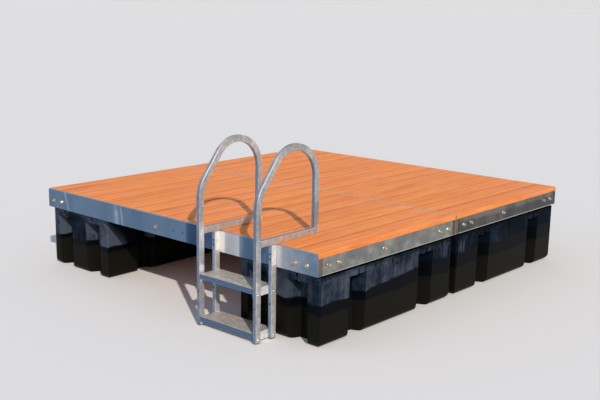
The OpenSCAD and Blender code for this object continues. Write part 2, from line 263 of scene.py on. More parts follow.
# tone bands of rolled metal by height, and turns: the part of the normal along one axis at which a tone
# starts and is full
metalBands = {"head": {"From Min": deckTop - 72 * mm, "From Max": deckTop - 52 * mm},
              "crown": {"From Min": deckTop - 6 * mm, "From Max": deckTop - 3 * mm},
              "edge": {"From Min": frameFoot + 3 * mm, "From Max": frameFoot + 7 * mm, "To Min": 1.0,
                       "To Max": 0.0},
              "leanFrom": deckTop - 60 * mm, "foreTurn": {"From Min": -0.6, "From Max": -0.95},
              "awayTurn": {"From Min": -0.95, "From Max": -0.6},
              "levelTurn": {"From Min": 0.9, "From Max": 0.98},
              "grooves": {"From Min": -0.2, "From Max": 0.5}, "lineDepth": 0.3 * mm, "waveDepth": 4 * mm}


def rolledMetal(name, look):
    # rolled or extruded metal: fine lines along the run, cloudy weathering, satin gloss
    mat, tree = newMaterial(name)
    place = addNode(tree, "ShaderNodeTexCoord").outputs["Object"]
    xyz = addNode(tree, "ShaderNodeSeparateXYZ", {}, {0: place}).outputs
    linesAt = addNode(tree, "ShaderNodeMapping", {"Scale": perSize(*look["lineSize"])}, {"Vector": place})
    lines = addNode(tree, "ShaderNodeTexNoise", {"Scale": 1.0, "Detail": 4.0, "Roughness": 0.6},
                    {"Vector": linesAt})
    bandsAt = addNode(tree, "ShaderNodeMapping", {"Scale": perSize(*look["bandSize"])}, {"Vector": place})
    bands = addNode(tree, "ShaderNodeTexNoise", {"Scale": 1.0, "Detail": 2.0, "Roughness": 0.45},
                    {"Vector": bandsAt})
    clouds = addNode(tree, "ShaderNodeTexNoise", {"Scale": perSize(look["cloudSize"]), "Detail": 6.0,
                     "Roughness": 0.62}, {"Vector": place})
    # clouds + 0.5 lines + weight * bands, of which 0.5 + 0.32 weight to 1 + 0.68 weight is spread over 0 to 1
    weight = look["bandWeight"]
    mixed = addNode(tree, "ShaderNodeMath", {"operation": "MULTIPLY_ADD", 1: 0.5}, {0: lines, 2: clouds})
    mixed = addNode(tree, "ShaderNodeMath", {"operation": "MULTIPLY_ADD", 1: weight}, {0: bands, 2: mixed})
    amount = addNode(tree, "ShaderNodeMapRange",
                     {"From Min": 0.5 + 0.32 * weight, "From Max": 1.0 + 0.68 * weight}, {"Value": mixed})
    if "headBand" in look:
        # the upper part is paler, fading in from 72 to 52 mm under the deck top
        under = addNode(tree, "ShaderNodeMapRange", {**metalBands["head"], "To Max": look["headBand"]},
                        {"Value": xyz["Z"]})
        amount = addNode(tree, "ShaderNodeMath", {"operation": "ADD"}, {0: amount, 1: under})
    if "paintedReflectionsAndShadow" in look:
        # painted reflections and painted shadow of the ladder on the long plate, over the noise: level by
        # distance from the left end, x + lean * drop, where the lean dies out towards the middle of the raft
        lean = addNode(tree, "ShaderNodeMapRange", {"From Min": leftX, "From Max": look["leanEnd"],
                       "To Min": look["paintedReflectionLean"], "To Max": 0.0}, {"Value": xyz["X"]})
        drop = addNode(tree, "ShaderNodeMath", {"operation": "SUBTRACT", 1: metalBands["leanFrom"]},
                       {0: xyz["Z"]})
        along = addNode(tree, "ShaderNodeMath", {"operation": "MULTIPLY_ADD"},
                        {0: drop, 1: lean, 2: xyz["X"]})
        along = addNode(tree, "ShaderNodeMapRange", {"From Min": leftX, "From Max": rightX},
                        {"Value": along})
        level = setStops(addNode(tree, "ShaderNodeValToRGB", {}, {"Fac": along}),
                         [(x / deckWidth, v) for x, v in look["paintedReflectionsAndShadow"]], "EASE")
        amount = addNode(tree, "ShaderNodeMix", {"data_type": "FLOAT", 0: look["noiseShare"]},
                         {2: level, 3: amount})
    colour = setStops(addNode(tree, "ShaderNodeValToRGB", {}, {"Fac": amount}),
                      [(0.0, look["dark"]), (0.5, look["mid"]), (1.0, look["pale"])])
    if "edgePaintedHighlight" in look:
        # painted highlight along the lower arris, over a few millimetres
        share = addNode(tree, "ShaderNodeMapRange", metalBands["edge"], {"Value": xyz["Z"]})
        colour = addNode(tree, "ShaderNodeMix", {"data_type": "RGBA", 7: hexToLinear(look["edgePaintedHighlight"])},
                         {0: share, 6: colour})
    if "forePaintedTint" in look:
        # painted sky reflection and shade by facing: the faces to the ladder side are tinted cooler and
        # darker, and the level ones take a tint of their own, mostly blue
        normal = addNode(tree, "ShaderNodeNewGeometry").outputs["Normal"]
        face = addNode(tree, "ShaderNodeSeparateXYZ", {}, {0: normal}).outputs
        for axis, turn, tint in (("Y", "foreTurn", "forePaintedTint"), ("Z", "levelTurn", "topPaintedTint")):
            share = addNode(tree, "ShaderNodeMapRange", metalBands[turn], {"Value": face[axis]})
            colour = addNode(tree, "ShaderNodeMix", {"data_type": "RGBA", "blend_type": "MULTIPLY",
                             7: hexToLinear(look[tint])}, {0: share, 6: colour})
    if "paintedLightByHeight" in look:
        # painted light and shade by height over the deck: brighter and darker lengths, but not on the faces
        # towards the ladder side
        low, high = look["paintedLightByHeight"][0][0], look["paintedLightByHeight"][-1][0]
        least, most = look["gainRange"]
        up = addNode(tree, "ShaderNodeMapRange", {"From Min": deckTop + low, "From Max": deckTop + high},
                     {"Value": xyz["Z"]})
        level = setStops(addNode(tree, "ShaderNodeValToRGB", {}, {"Fac": up}),
                         [((h - low) / (high - low), (gain - least) / (most - least))
                          for h, gain in look["paintedLightByHeight"]], "EASE")
        gain = addNode(tree, "ShaderNodeMapRange", {"To Min": least, "To Max": most}, {"Value": level})
        away = addNode(tree, "ShaderNodeMapRange", metalBands["awayTurn"], {"Value": face["Y"]})
        colour = addNode(tree, "ShaderNodeMix", {"data_type": "RGBA", "blend_type": "MULTIPLY"},
                         {0: away, 6: colour, 7: gain})
    if "lipPaintedReflection" in look:
        # smooth front lip of the treads, darker and bluer than the ribbed top as a painted sky reflection,
        # with painted shade in one groove every lipPitch of height, sin(2 pi z / pitch)
        wave = addNode(tree, "ShaderNodeMath", {"operation": "MULTIPLY", 1: 2 * math.pi / look["lipPitch"]},
                       {0: xyz["Z"]})
        wave = addNode(tree, "ShaderNodeMath", {"operation": "SINE"}, {0: wave})
        share = addNode(tree, "ShaderNodeMapRange", metalBands["grooves"], {"Value": wave})
        lip = addNode(tree, "ShaderNodeMix", {"data_type": "RGBA", 6: hexToLinear(look["lipGroovePaintedShade"]),
                      7: hexToLinear(look["lipPaintedReflection"])}, {0: share})
        fore = addNode(tree, "ShaderNodeMath", {"operation": "LESS_THAN", 1: look["lipBack"]}, {0: xyz["Y"]})
        colour = addNode(tree, "ShaderNodeMix", {"data_type": "RGBA"}, {0: fore, 6: colour, 7: lip})
    if "crownPaintedHighlight" in look:
        # painted highlight along the top edge
        share = addNode(tree, "ShaderNodeMapRange", metalBands["crown"], {"Value": xyz["Z"]})
        colour = addNode(tree, "ShaderNodeMix", {"data_type": "RGBA", 7: hexToLinear(look["crownPaintedHighlight"])},
                         {0: share, 6: colour})
    fineBump = addNode(tree, "ShaderNodeBump",
                       {"Strength": look["lineBump"], "Distance": metalBands["lineDepth"]}, {"Height": lines})
    broadBump = addNode(tree, "ShaderNodeBump",
                        {"Strength": look["waveBump"], "Distance": metalBands["waveDepth"]},
                        {"Height": bands, "Normal": fineBump})
    rough = addNode(tree, "ShaderNodeMapRange", {"From Min": 0.3, "From Max": 0.7, "To Min": look["roughMin"],
                    "To Max": look["roughMax"]}, {"Value": clouds})
    finishMaterial(tree, addNode(tree, "ShaderNodeBsdfPrincipled", {"Metallic": look["metallic"]},
                                 {"Base Color": colour, "Roughness": rough, "Normal": broadBump}))
    return mat


def mouldedFloat():
    # rotomoulded black polyethylene: orange-peel skin, blue-grey dust above the splash line, a clean wet band
    # under it and a brown film below the water line. The rear pair and parts of the faces to the ladder side
    # carry less dust. Painted shade lies on the faces to the ladder side as the ladder's shadow, far under
    # the deck on the inner sides, just under the frame on the sides (with painted light on the faces to the
    # ladder side), and near black on the crown under the frame
    # noises: size of a blotch, or its three sides where it is drawn out, then detail and roughness
    look = {"clean": "#060D18", "dust": "#17212F", "dustPale": "#434B58", "wet": "#04070C", "film": "#141410",
            "crown": "#040506", "splashDrop": (168 * mm, 132 * mm), "leftDrop": 24 * mm, "splashEdge": 4 * mm,
            "waterDrop": 226 * mm, "waterEdge": 7 * mm, "wander": 0.05, "wanderMiddle": 25 * mm,
            "crownDrop": 13 * mm, "shadeDrop": 36 * mm, "sideInset": 20 * mm, "shadowEdgeSlope": 0.8,
            "noises": {"clouds": (167 * mm, 5.0, 0.6), "blots": (32 * mm, 4.0, 0.6),
                       "streaks": ((26 * mm, 26 * mm, 333 * mm), 5.0, 0.6),
                       "runs": ((13 * mm, 13 * mm, 250 * mm), 3.0, 0.55), "peel": (2.4 * mm, 2.0, 0.5)},
            "blotWeight": 0.3, "streakWeight": 0.4, "dustSpan": {"From Min": 0.57, "From Max": 1.07},
            "frontDustAndShadow": [(0.0, 0.45), (0.09, 0.4), (0.2, 0.0), (0.36, 0.0), (0.44, 0.5), (0.52, 0.45),
                          (0.57, 0.8), (1.885, 0.75), (1.905, 0.25), (2.035, 0.15), (2.065, 0.75),
                          (2.18, 0.7), (2.22, 0.35), (2.36, 0.2), (2.4, 0.1)],
            "frontSpan": {"To Min": -0.26, "To Max": 0.2}, "roughness": {"To Min": 0.4, "To Max": 0.7},
            "skinBump": {"Strength": 0.25, "Distance": 0.4 * mm},
            "swellBump": {"Strength": 0.3, "Distance": 4 * mm}, "gloss": {"Specular IOR Level": 0.035}}
    mat, tree = newMaterial("rotomouldedPolyethylene")
    place = addNode(tree, "ShaderNodeTexCoord").outputs["Object"]
    xyz = addNode(tree, "ShaderNodeSeparateXYZ", {}, {0: place}).outputs
    normal = addNode(tree, "ShaderNodeNewGeometry").outputs["Normal"]
    face = addNode(tree, "ShaderNodeSeparateXYZ", {}, {0: normal}).outputs
    noise = {}
    for name, (size, detail, rough) in look["noises"].items():
        settings, at = {"Detail": detail, "Roughness": rough}, place
        if isinstance(size, tuple):
            at = addNode(tree, "ShaderNodeMapping", {"Scale": perSize(*size)}, {"Vector": place})
        settings["Scale"] = 1.0 if isinstance(size, tuple) else perSize(size)
        noise[name] = addNode(tree, "ShaderNodeTexNoise", settings, {"Vector": at})
    # height under the frame, wandering by about 12 mm
    wander = addNode(tree, "ShaderNodeMath", {"operation": "MULTIPLY_ADD", 1: look["wander"]},
                     {0: noise["clouds"], 2: xyz["Z"]})
    # depth under the deck for the inner sides, y + 0.8 z, so that the painted shade of the deck there starts
    # on a sloping edge
    depth = addNode(tree, "ShaderNodeMath", {"operation": "MULTIPLY_ADD", 1: look["shadowEdgeSlope"]},
                    {0: xyz["Z"], 2: xyz["Y"]})
    fromSeam = addNode(tree, "ShaderNodeMath", {"operation": "SUBTRACT", 1: seamY}, {0: xyz["Y"]})
    fromSeam = addNode(tree, "ShaderNodeMath", {"operation": "ABSOLUTE"}, {0: fromSeam})
    frontSplash, backSplash, waterLine = (frameFoot - drop + look["wanderMiddle"]
                                          for drop in (*look["splashDrop"], look["waterDrop"]))
    shadeFoot, crownFoot = frameFoot - look["shadeDrop"], frameFoot - look["crownDrop"]
    # what is read, its two ends, and the two values there
    spans = {"alongFront": (xyz["X"], leftX, rightX, 0.0, 1.0),
             # the splash line rises towards the back of the raft and sinks towards the left
             "splashRise": (xyz["Y"], seamY - 0.9, seamY - 0.45, frontSplash, backSplash),
             "splashSink": (xyz["X"], leftX, rightX, -look["leftDrop"], 0.0),
             "overWater": (wander, waterLine - look["waterEdge"], waterLine + look["waterEdge"], 0.0, 1.0),
             # turned to the ladder side, and turned to the right
             "fore": (face["Y"], -0.3, -0.9, 0.0, 1.0),
             "rightward": (face["X"], 0.5, 0.85, 0.0, 1.0),
             # inner sides: more dust on the left pair, and painted shade far under the deck
             "shelter": (xyz["X"], -0.3, 0.3, 0.15, -0.05),
             "paintedShadeUnderDeck": (depth, frontY + 0.33, frontY + 0.43, 0.0, -0.7),
             # a little more near the ladder side, less behind the seam
             "nearMore": (xyz["Y"], seamY - 0.9, seamY - 0.5, 0.08, 0.0),
             "farLess": (xyz["Y"], seamY - 0.4, seamY + 0.3, 0.0, -0.25),
             # band under the frame: painted shade on the sides, painted light on the faces to the ladder side
             "shade": (xyz["Z"], shadeFoot, shadeFoot + 12 * mm, 0.0, -0.12),
             "shadeTurn": (face["Y"], -0.9, -0.3, -1.8, 1.0),
             # water from the open seam of the deck leaves stronger upright runs within about 400 mm of it
             "runGain": (fromSeam, 0.12, 0.4, 1.5, 0.0),
             "crown": (xyz["Z"], crownFoot - 1 * mm, crownFoot, 0.0, 1.0)}
    by = {}
    for name, (source, *span) in spans.items():
        settings = dict(zip(("From Min", "From Max", "To Min", "To Max"), span))
        by[name] = addNode(tree, "ShaderNodeMapRange", settings, {"Value": source})
    splash = addNode(tree, "ShaderNodeMath", {"operation": "ADD"}, {0: by["splashRise"], 1: by["splashSink"]})
    above = addNode(tree, "ShaderNodeMath", {"operation": "SUBTRACT"}, {0: wander, 1: splash})
    above = addNode(tree, "ShaderNodeMapRange",
                    {"From Min": -look["splashEdge"], "From Max": look["splashEdge"]}, {"Value": above})
    # faces to the ladder side: dust by distance from the left end, lowered from about 1.9 to 2.05 m as
    # painted shadow of the ladder
    front = setStops(addNode(tree, "ShaderNodeValToRGB", {}, {"Fac": by["alongFront"]}),
                     [(x / deckWidth, v) for x, v in look["frontDustAndShadow"]], "EASE")
    front = addNode(tree, "ShaderNodeMapRange", look["frontSpan"], {"Value": front})
    inside = addNode(tree, "ShaderNodeMath", {"operation": "LESS_THAN", 1: rightX - look["sideInset"]},
                     {0: xyz["X"]})
    inside = addNode(tree, "ShaderNodeMath", {"operation": "MULTIPLY"}, {0: by["rightward"], 1: inside})
    inner = addNode(tree, "ShaderNodeMath", {"operation": "ADD"}, {0: by["shelter"], 1: by["paintedShadeUnderDeck"]})
    runs = addNode(tree, "ShaderNodeMath", {"operation": "SUBTRACT", 1: 0.5}, {0: noise["runs"]})
    # dust = clouds + the sum of both values of each pair multiplied
    dust = noise["clouds"]
    for value, weight in ((noise["blots"], look["blotWeight"]), (noise["streaks"], look["streakWeight"]),
                          (by["fore"], front), (inside, inner), (by["nearMore"], 1.0), (by["farLess"], 1.0),
                          (by["shade"], by["shadeTurn"]), (runs, by["runGain"])):
        settings, links = {"operation": "MULTIPLY_ADD"}, {0: value, 2: dust}
        (settings if isinstance(weight, float) else links)[1] = weight
        dust = addNode(tree, "ShaderNodeMath", settings, links)
    dust = addNode(tree, "ShaderNodeMapRange", look["dustSpan"], {"Value": dust})
    dust = setStops(addNode(tree, "ShaderNodeValToRGB", {}, {"Fac": dust}),
                    [(0.0, look["clean"]), (0.4, look["dust"]), (1.0, look["dustPale"])])
    film = addNode(tree, "ShaderNodeMix", {"data_type": "RGBA", 6: hexToLinear(look["film"]),
                   7: hexToLinear(look["wet"])}, {0: by["overWater"]})
    colour = addNode(tree, "ShaderNodeMix", {"data_type": "RGBA"}, {0: above, 6: film, 7: dust})
    # painted shade: the crown under the frame is near black
    colour = addNode(tree, "ShaderNodeMix", {"data_type": "RGBA", 7: hexToLinear(look["crown"])},
                     {0: by["crown"], 6: colour})
    skin = addNode(tree, "ShaderNodeBump", look["skinBump"], {"Height": noise["peel"]})
    swell = addNode(tree, "ShaderNodeBump", look["swellBump"], {"Height": noise["clouds"], "Normal": skin})
    rough = addNode(tree, "ShaderNodeMapRange", look["roughness"], {"Value": above})
    finishMaterial(tree, addNode(tree, "ShaderNodeBsdfPrincipled", look["gloss"],
                                 {"Base Color": colour, "Roughness": rough, "Normal": swell}))
    return mat


smallParts = {"brightness": {"To Min": 0.8, "To Max": 1.12}, "spotSize": 111 * mm,
              "spotShare": {"From Min": 0.44, "From Max": 0.56},
              "bump": {"Strength": 0.2, "Distance": 0.3 * mm}}


def plainFinish(name, code, rough, metallic=0.0, grain=5 * mm, second=None):
    # small parts: one colour broken by a fine noise, and with a second colour on about half of the places
    mat, tree = newMaterial(name)
    place = addNode(tree, "ShaderNodeTexCoord").outputs["Object"]
    noise = addNode(tree, "ShaderNodeTexNoise", {"Scale": perSize(grain), "Detail": 3.0}, {"Vector": place})
    value = addNode(tree, "ShaderNodeMapRange", smallParts["brightness"], {"Value": noise})
    links = {"Value": value}
    if second:
        spots = addNode(tree, "ShaderNodeTexNoise", {"Scale": perSize(smallParts["spotSize"]), "Detail": 0.0},
                        {"Vector": place})
        share = addNode(tree, "ShaderNodeMapRange", smallParts["spotShare"], {"Value": spots})
        links["Color"] = addNode(tree, "ShaderNodeMix", {"data_type": "RGBA", 6: hexToLinear(code),
                                 7: hexToLinear(second)}, {0: share})
    colour = addNode(tree, "ShaderNodeHueSaturation", {"Color": hexToLinear(code)}, links)
    bump = addNode(tree, "ShaderNodeBump", smallParts["bump"], {"Height": noise})
    finishMaterial(tree, addNode(tree, "ShaderNodeBsdfPrincipled", {"Roughness": rough, "Metallic": metallic},
                                 {"Base Color": colour, "Normal": bump}))
    return mat


boardFinish = cedarBoard()
# the blue of these plate colours is painted sky reflection; in the list of levels, the pale bands and levels
# over 1 are painted reflections, and the levels near 0 from about 1.42 to 1.64 m are painted shadow of the
# ladder
plateLook = {"dark": "#0A3564", "mid": "#617B96", "pale": "#E9E8E6", "roughMin": 0.38, "roughMax": 0.54,
             "lineSize": (167 * mm, 167 * mm, 1.1 * mm), "bandSize": (200 * mm, 200 * mm, 3333 * mm),
             "bandWeight": 1.2, "cloudSize": 91 * mm, "lineBump": 0.12, "waveBump": 0.1, "metallic": 0.55,
             "crownPaintedHighlight": "#8A96A4", "paintedReflectionLean": 0.36, "leanEnd": 0.2, "noiseShare": 0.27,
             "paintedReflectionsAndShadow": [(0.0, 0.3), (0.19, 0.32), (0.205, 0.7), (0.225, 0.36), (0.69, 0.36), (0.75, 0.56),
                       (0.785, 0.32), (0.8, 0.6), (0.82, 0.3), (1.25, 0.42), (1.41, 0.4), (1.422, 0.0),
                       (1.635, 0.02), (1.652, 1.3), (1.672, 1.3), (1.688, 0.82), (1.708, 1.25), (1.732, 1.25),
                       (1.75, 0.74), (1.852, 0.8), (1.868, 0.4), (1.93, 0.22), (2.04, 0.12), (2.085, 0.38),
                       (2.16, 1.04), (2.2, 0.68), (2.33, 0.56), (2.438, 0.48)]}
innerLook = {"dark": "#6F706E", "mid": "#82817D", "pale": "#9B9994", "roughMin": 0.45, "roughMax": 0.6,
             "lineSize": (167 * mm, 167 * mm, 1.1 * mm), "bandSize": (200 * mm, 200 * mm, 3333 * mm),
             "bandWeight": 0.7, "cloudSize": 91 * mm, "lineBump": 0.12, "waveBump": 0.1, "metallic": 0.55}
railLook = dict(innerLook, dark="#5F6365", mid="#7E817F", pale="#A9AAA4", bandWeight=0.45, cloudSize=70 * mm,
                edgePaintedHighlight="#A9AAA4")
rearRailLook = dict(railLook, dark="#33363C", mid="#46484B", pale="#72706B", bandWeight=1.1,
                    cloudSize=62 * mm, headBand=0.4)
bracketLook = dict(innerLook, dark="#6F655C", mid="#897E75", pale="#A69A90")
seamLook = dict(bracketLook, crownPaintedHighlight="#B0B0B6")
tubeLook = {"dark": "#7C8189", "mid": "#9D9EA0", "pale": "#C6C2BE", "roughMin": 0.34, "roughMax": 0.5,
            "lineSize": (1.4 * mm, 1.4 * mm, 71 * mm), "bandSize": (17 * mm, 17 * mm, 143 * mm),
            "bandWeight": 0.6, "cloudSize": 25 * mm, "lineBump": 0.2, "waveBump": 0.03, "metallic": 0.35,
            "forePaintedTint": "#AFC2DE", "topPaintedTint": "#BFD4F0", "gainRange": (0.6, 2.0)}
leftTubeLook = dict(tubeLook, paintedLightByHeight=[
    (-0.53, 1.1), (-0.225, 1.1), (-0.205, 1.9), (-0.185, 1.9), (-0.165, 1.25), (-0.11, 1.3), (-0.03, 1.9),
    (0.01, 1.9), (0.045, 1.5), (0.085, 1.05), (0.3, 1.15), (0.46, 1.32), (0.53, 1.06)])
rightTubeLook = dict(tubeLook, paintedLightByHeight=[
    (-0.53, 1.2), (-0.31, 1.15), (-0.28, 1.6), (-0.2, 1.65), (-0.175, 1.12), (-0.1, 1.02), (-0.055, 1.33),
    (0.02, 1.24), (0.08, 0.82), (0.17, 0.78), (0.2, 1.04), (0.37, 1.15), (0.46, 1.16), (0.53, 0.9)])
# painted reflections: the pinkish colours stand for the deck, and the blue level faces for the sky
deckTubeLook = dict(tubeLook, dark="#9E9894", mid="#B7ACA3", pale="#D6C8BB", topPaintedTint="#7CB4F4")
legLook = dict(tubeLook, dark="#AFAFB0", mid="#D8D5D1", pale="#F2EFEB", forePaintedTint="#93ABC6",
               paintedLightByHeight=[(-0.53, 0.74), (-0.12, 0.74), (-0.108, 1.18), (0.0, 1.18)])
treadLook = dict(tubeLook, dark="#A2A2A2", mid="#E2E1DF", pale="#FFFFFC", topPaintedTint="#E4E0DB",
                 lineSize=(250 * mm, 2.4 * mm, 2.4 * mm), bandSize=(111 * mm, 33 * mm, 33 * mm), lineBump=0.5,
                 lipPaintedReflection="#5F7C9F", lipGroovePaintedShade="#2C4364", lipPitch=9 * mm,
                 lipBack=float(corners("upper_tread")[0][1]) + 2.2 * mm)
plateFinish = rolledMetal("millAluminiumPlate", plateLook)
railFinish = rolledMetal("weatheredAluminiumRail", railLook)
rearRailFinish = rolledMetal("darkenedAluminiumRail", rearRailLook)
innerFinish = rolledMetal("dullAluminiumSection", innerLook)
bracketFinish = rolledMetal("brownedAluminiumBracket", bracketLook)
seamFinish = rolledMetal("brownedAluminiumPlate", seamLook)
# the left hoop, the right hoop and the legs differ by their painted light and shade by height over the deck
leftTubeFinish = rolledMetal("satinAluminiumTube", leftTubeLook)
rightTubeFinish = rolledMetal("rightHoopTubePaintedLight", rightTubeLook)
deckTubeFinish = rolledMetal("deckRailTubePaintedReflections", deckTubeLook)
legFinish = rolledMetal("legTubePaintedLight", legLook)
treadFinish = rolledMetal("ribbedAluminiumTread", treadLook)
floatFinish = mouldedFloat()
boltFinish = plainFinish("zincPlatedSteel", "#CFC6AB", 0.22, 0.9, second="#D2B6A8")
treadBoltFinish = plainFinish("brightSteel", "#D2D0CD", 0.24, 0.8)
# painted shade: the nuts of the float bolts, under the frame, are dark grey
nutShadeFinish = plainFinish("floatNutPaintedShade", "#4A4843", 0.5, 0.8)
weldFinish = plainFinish("aluminiumWeld", "#B4B2B0", 0.4, 1.0, 1.1 * mm)
# painted shade for the drilled holes: a near-black finish
holeShadeFinish = plainFinish("holePaintedShade", "#07080A", 0.7)
capFinish = plainFinish("blackPolypropylene", "#1C1D1F", 0.5)

nodeFinish = {
    plateFinish: ["front_plate", "rear_plate"],
    seamFinish: ["front_seam_plate", "rear_seam_plate"],
    bracketFinish: ["front_corner_brackets", "rear_corner_brackets"],
    railFinish: ["front_left_rail", "front_right_rail"],
    rearRailFinish: ["rear_left_rail", "rear_right_rail"],
    innerFinish: ["front_cross_joist", "rear_cross_joist", "front_section_stringer_front",
                  "front_section_stringer_back", "rear_section_stringer_front", "rear_section_stringer_back"],
    floatFinish: ["front_left_float", "front_right_float", "rear_left_float", "rear_right_float"],
    leftTubeFinish: ["left_hoop", "left_front_foot"],
    rightTubeFinish: ["right_hoop", "right_front_foot"],
    deckTubeFinish: ["left_deck_rail", "right_deck_rail"],
    legFinish: ["left_back_leg", "right_back_leg", "left_back_foot", "right_back_foot"],
    treadFinish: ["upper_tread", "lower_tread"],
}
for finish, names in nodeFinish.items():
    for name in names:
        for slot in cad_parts[name].material_slots:
            slot.material = finish
print("materials set on", sum(map(len, nodeFinish.values())), "nodes")


# deck boards

boardShape = {"count": 16, "gap": 3 * mm, "edgeRadius": 3.0 * mm, "footRadius": 1.5 * mm, "alongSteps": 14,
              "sideWander": 0.35 * mm, "sideWave": 2.2, "topWander": 0.5 * mm, "topWave": 3.1,
              "upperPart": 10 * mm, "phaseSpan": 6.28}


def boardSection(width, thick, top, foot, steps=4):
    # rounded rectangle: arcs of the top radius at the upper corners and of the foot radius at the lower ones
    out = []
    for cx, cz, r, a0 in ((width / 2 - top, thick - top, top, 0), (-width / 2 + top, thick - top, top, 90),
                          (-width / 2 + foot, foot, foot, 180), (width / 2 - foot, foot, foot, 270)):
        a = np.radians(a0 + np.linspace(0, 90, steps + 1))
        out.append(np.stack([cx + r * np.cos(a), cz + r * np.sin(a)], -1))
    return np.concatenate(out)


def makeBoards(name, node):
    # board surface: section point (x, z) carried along y, with x and z moved by slow waves below 1 mm
    low, high = corners(node)
    n, s = boardShape["count"], boardShape["alongSteps"]
    width = (high[0] - low[0] - (n - 1) * boardShape["gap"]) / n
    section = boardSection(width, high[2] - low[2], boardShape["edgeRadius"], boardShape["footRadius"])
    m = len(section)
    along = np.linspace(low[1], high[1], s)
    pts, faces = [], []
    for k in range(n):
        middle = low[0] + width / 2 + k * (width + boardShape["gap"])
        # four draws for each board, of which the first two are used
        sidePhase, topPhase = rng.uniform(0, boardShape["phaseSpan"], 4)[:2]
        side = boardShape["sideWander"] * np.sin(boardShape["sideWave"] * along + sidePhase)
        if k in (0, n - 1):
            side = 0 * along
        drop = boardShape["topWander"] * (0.5 + 0.5 * np.sin(boardShape["topWave"] * along + topPhase))
        grid = np.empty((s, m, 3))
        grid[..., 0] = middle + section[None, :, 0] + side[:, None]
        grid[..., 1] = along[:, None]
        upper = section[None, :, 1] > boardShape["upperPart"]
        grid[..., 2] = low[2] + section[None, :, 1] - drop[:, None] * upper
        base = len(pts) * s * m
        pts.append(grid.reshape(-1, 3))
        quads = gridFaces(s, m) + base
        faces += [tuple(map(int, q[::-1])) for q in quads]
        faces.append(tuple(range(base, base + m)))
        faces.append(tuple(range(base + (s - 1) * m + m - 1, base + (s - 1) * m - 1, -1)))
    piece = makeMesh(name, np.concatenate(pts), faces, boardFinish, smooth=40)
    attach(piece, "root")
    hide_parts(node)


makeBoards("frontDeckBoards", "front_boards")
makeBoards("rearDeckBoards", "rear_boards")
print("boards made")


# bolts of the frame

plateBolt = {"washer": 12.5 * mm, "washerThick": 2.4 * mm, "across": 10.6 * mm, "head": 9 * mm,
             "stud": 5 * mm, "studLength": 6 * mm, "cornerPair": (70 * mm, 155 * mm), "below": 76 * mm,
             "stringerAt": 1144 * mm, "railPair": (89 * mm, 176 * mm), "joistAt": 576.5 * mm}


def headRings(look, sink=1.0 * mm):
    # washer disc, then a six-sided head with a chamfered top, and the end of the stud where the look has one
    w, t, r, h = look["washer"], look["washerThick"], look["across"], look["head"]
    rings = [(w, -sink, 0), (w, t * 0.7, 0), (w * 0.95, t, 0), (r * 1.02, t, 1), (r, t + h * 0.8, 1),
             (r * 0.86, t + h, 0.6)]
    if "stud" in look:
        d, e = look["stud"], look["studLength"]
        return rings + [(d, t + h, 0), (d, t + h + e * 0.85, 0), (d * 0.8, t + h + e, 0)]
    return rings + [(r * 0.4, t + h * 1.02, 0)]


def makeBolts(name, places, normals, rings, mat):
    # one turned shape at every place, along its normal, each spun by up to a sixth of a turn
    pts, faces = turnedShape(rings)
    spins = rng.uniform(0, 1.05, len(places))
    allPts, allFaces = repeatShape(pts, faces, places, facing(normals, spins))
    piece = makeMesh(name, allPts, allFaces, mat, smooth=35)
    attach(piece, "root")


z = deckTop - plateBolt["below"]
near, far = plateBolt["cornerPair"]
acrossX = [leftX + near, leftX + far, leftX + plateBolt["stringerAt"], rightX - far, rightX - near]
places, normals = [], []
for x in acrossX:
    places += [(x, frontY, z), (x, rearY, z)]
    normals += [(0, -1, 0), (0, 1, 0)]
for start in (frontY, seamY):
    near, far = plateBolt["railPair"]
    end = start + sectionDepth
    for y in (start + near, start + far, start + plateBolt["joistAt"], end - far, end - near):
        places += [(leftX, y, z), (rightX, y, z)]
        normals += [(-1, 0, 0), (1, 0, 0)]
makeBolts("frameBolts", places, normals, headRings(plateBolt), boltFinish)

# bolts through the two seam plates, heads towards the ladder side and nuts behind
seamBolt = {"count": 6, "fromEnd": 260 * mm, "fromSeam": 5 * mm, "lower": 8 * mm}
places, normals = [], []
for x in np.linspace(leftX + seamBolt["fromEnd"], rightX - seamBolt["fromEnd"], seamBolt["count"]):
    for way in (-1, 1):
        places.append((x, seamY + way * seamBolt["fromSeam"], z - seamBolt["lower"]))
        normals.append((0, way, 0))
makeBolts("seamBolts", places, normals, headRings(plateBolt), boltFinish)


# bolts that hold the floats to the flanges

floatBolt = {"shaft": 5 * mm, "washer": 13 * mm, "washerThick": 3 * mm, "nut": 9.8 * mm, "nutHeight": 8 * mm,
             "stub": 4 * mm, "rise": 53 * mm, "rimFoot": 52 * mm, "fromSide": 25 * mm, "fromEnd": 22 * mm,
             "endOffset": 152 * mm, "endShift": -13 * mm, "sideOffset": 325 * mm, "sideShift": 18 * mm}


def floatBoltPlaces():
    # two bolts in each end flange and two in the outer side flange of every float, at the foot of its rim
    out = []
    for node in ("front_left_float", "front_right_float", "rear_left_float", "rear_right_float"):
        low, high = corners(node)
        mid = (low + high) / 2
        foot = frameFoot - floatBolt["rimFoot"]
        for s in (-1, 1):
            for y in (low[1] + floatBolt["fromEnd"], high[1] - floatBolt["fromEnd"]):
                out.append((mid[0] + s * floatBolt["endOffset"] + floatBolt["endShift"], y, foot))
            x = low[0] + floatBolt["fromSide"] if "left" in node else high[0] - floatBolt["fromSide"]
            out.append((x, mid[1] + s * floatBolt["sideOffset"] + floatBolt["sideShift"], foot))
    return out


